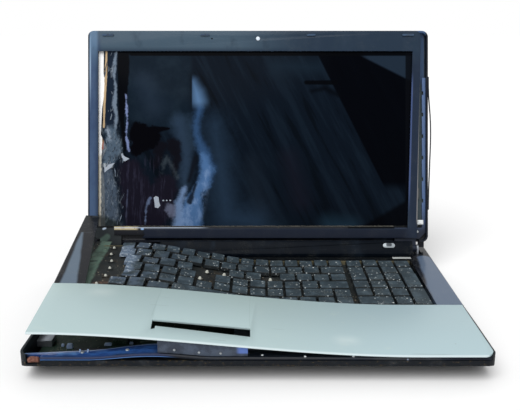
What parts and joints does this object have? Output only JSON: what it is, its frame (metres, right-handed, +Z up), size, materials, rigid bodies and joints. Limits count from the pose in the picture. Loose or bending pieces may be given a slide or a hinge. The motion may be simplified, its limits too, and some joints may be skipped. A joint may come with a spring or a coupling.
{
  "type": "broken laptop",
  "caption": "Broken open laptop with a torn-up left side, buckled keyboard, lifted silver palm rest, sprung screen bezel and cracked dark display.",
  "frame": {"origin": "centre of the bounding box, on the surface that the laptop stands on", "axes": "+X to the right as the user sees it, +Y to the back, +Z up"},
  "size_m": [0.382, 0.313, 0.2607],
  "materials": {
    "gloss_black": "gloss",
    "matt_black": "matt",
    "silver": "satin, dusty",
    "steel": "satin",
    "plate": "dusty, worn",
    "board": "matt",
    "copper": "satin",
    "rust": "rusted",
    "white": "matt",
    "screen": "gloss, cracked",
    "rubber": "matt",
    "tan": "matt",
    "lens": "gloss"
  },
  "bodies": {
    "base": {"bottom_case": "matt_black", "fan_housing": "matt_black", "battery_pack": "matt_black", "memory_cover": "matt_black", "speaker_left": "matt_black", "speaker_right": "matt_black", "dc_jack": "matt_black", "front_trim": "gloss_black", "top_case": "gloss_black", "hinge_cover": "gloss_black", "corner_bracket": "rust", "palm_rest": "silver", "touchpad_board": "board", "motherboard": "board", "memory_module": "board", "touchpad_bracket": "steel", "hard_drive": "steel", "optical_drive": "steel", "usb_port_left": "steel", "usb_port_right": "steel", "video_port": "steel", "hinge_bracket_left": "steel", "hinge_bracket_right": "steel", "keyboard_plate": "plate", "heatsink": "copper", "foot_front_left": "rubber", "foot_front_right": "rubber", "foot_rear_left": "rubber", "foot_rear_right": "rubber"},
    "lid": {"lid_cover": "gloss_black", "screen_bezel": "gloss_black", "lcd_glass": "screen", "backlight_tray": "white", "lcd_driver_board": "tan", "lid_rail_left": "steel", "lid_rail_right": "steel", "webcam_board": "board", "webcam_lens": "lens", "bumper_1": "rubber", "bumper_2": "rubber", "bumper_3": "rubber", "bumper_4": "rubber", "edge_trim": "gloss_black"},
    "key_0": {"key_0": "matt_black"},
    "key_point": {"key_point": "matt_black"},
    "key_enter": {"key_enter": "matt_black"},
    "key_1": {"key_1": "matt_black"},
    "key_2": {"key_2": "matt_black"},
    "key_3": {"key_3": "matt_black"},
    "key_4": {"key_4": "matt_black"},
    "key_5": {"key_5": "matt_black"},
    "key_6": {"key_6": "matt_black"},
    "key_plus": {"key_plus": "matt_black"},
    "key_7": {"key_7": "matt_black"},
    "key_8": {"key_8": "matt_black"},
    "key_9": {"key_9": "matt_black"},
    "power_button": {"power_button": "steel"},
    "optical_tray": {"optical_tray": "matt_black"},
    "fan_rotor": {"fan_rotor": "matt_black"},
    "battery_latch": {"battery_latch": "matt_black"}
  },
  "joints": [
    {"name": "lid_hinge", "type": "hinge", "parent": "base", "child": "lid", "pos_m": [0, 0.0847, 0.02742], "axis": [-1, 0, 0], "range_deg": [-25, 30]},
    {"name": "key_0_press", "type": "slide", "parent": "base", "child": "key_0", "axis": [0, 0, -1], "range_m": [0, 0.002], "stiffness_N_per_m": 150},
    {"name": "key_point_press", "type": "slide", "parent": "base", "child": "key_point", "axis": [0, 0, -1], "range_m": [0, 0.002], "stiffness_N_per_m": 150},
    {"name": "key_enter_press", "type": "slide", "parent": "base", "child": "key_enter", "axis": [0, 0, -1], "range_m": [0, 0.002], "stiffness_N_per_m": 150},
    {"name": "key_1_press", "type": "slide", "parent": "base", "child": "key_1", "axis": [0, 0, -1], "range_m": [0, 0.002], "stiffness_N_per_m": 150},
    {"name": "key_2_press", "type": "slide", "parent": "base", "child": "key_2", "axis": [0, 0, -1], "range_m": [0, 0.002], "stiffness_N_per_m": 150},
    {"name": "key_3_press", "type": "slide", "parent": "base", "child": "key_3", "axis": [0, 0, -1], "range_m": [0, 0.002], "stiffness_N_per_m": 150},
    {"name": "key_4_press", "type": "slide", "parent": "base", "child": "key_4", "axis": [0, 0, -1], "range_m": [0, 0.002], "stiffness_N_per_m": 150},
    {"name": "key_5_press", "type": "slide", "parent": "base", "child": "key_5", "axis": [0, 0, -1], "range_m": [0, 0.002], "stiffness_N_per_m": 150},
    {"name": "key_6_press", "type": "slide", "parent": "base", "child": "key_6", "axis": [0, 0, -1], "range_m": [0, 0.002], "stiffness_N_per_m": 150},
    {"name": "key_plus_press", "type": "slide", "parent": "base", "child": "key_plus", "axis": [0, 0, -1], "range_m": [0, 0.002], "stiffness_N_per_m": 150},
    {"name": "key_7_press", "type": "slide", "parent": "base", "child": "key_7", "axis": [0, 0, -1], "range_m": [0, 0.002], "stiffness_N_per_m": 150},
    {"name": "key_8_press", "type": "slide", "parent": "base", "child": "key_8", "axis": [0, 0, -1], "range_m": [0, 0.002], "stiffness_N_per_m": 150},
    {"name": "key_9_press", "type": "slide", "parent": "base", "child": "key_9", "axis": [0, 0, -1], "range_m": [0, 0.002], "stiffness_N_per_m": 150},
    {"name": "power_button_press", "type": "slide", "parent": "base", "child": "power_button", "axis": [0, 0.8309, -0.5564], "range_m": [0, 0.0008], "stiffness_N_per_m": 400},
    {"name": "tray_slide", "type": "slide", "parent": "base", "child": "optical_tray", "axis": [1, 0, 0], "range_m": [0, 0.115]},
    {"name": "fan_spin", "type": "hinge", "parent": "base", "child": "fan_rotor", "pos_m": [-0.14901, 0.01151, 0.0093], "axis": [0, 0, 1], "continuous": true},
    {"name": "battery_latch_slide", "type": "slide", "parent": "base", "child": "battery_latch", "axis": [1, 0, 0], "range_m": [0, 0.005], "stiffness_N_per_m": 300}
  ]
}
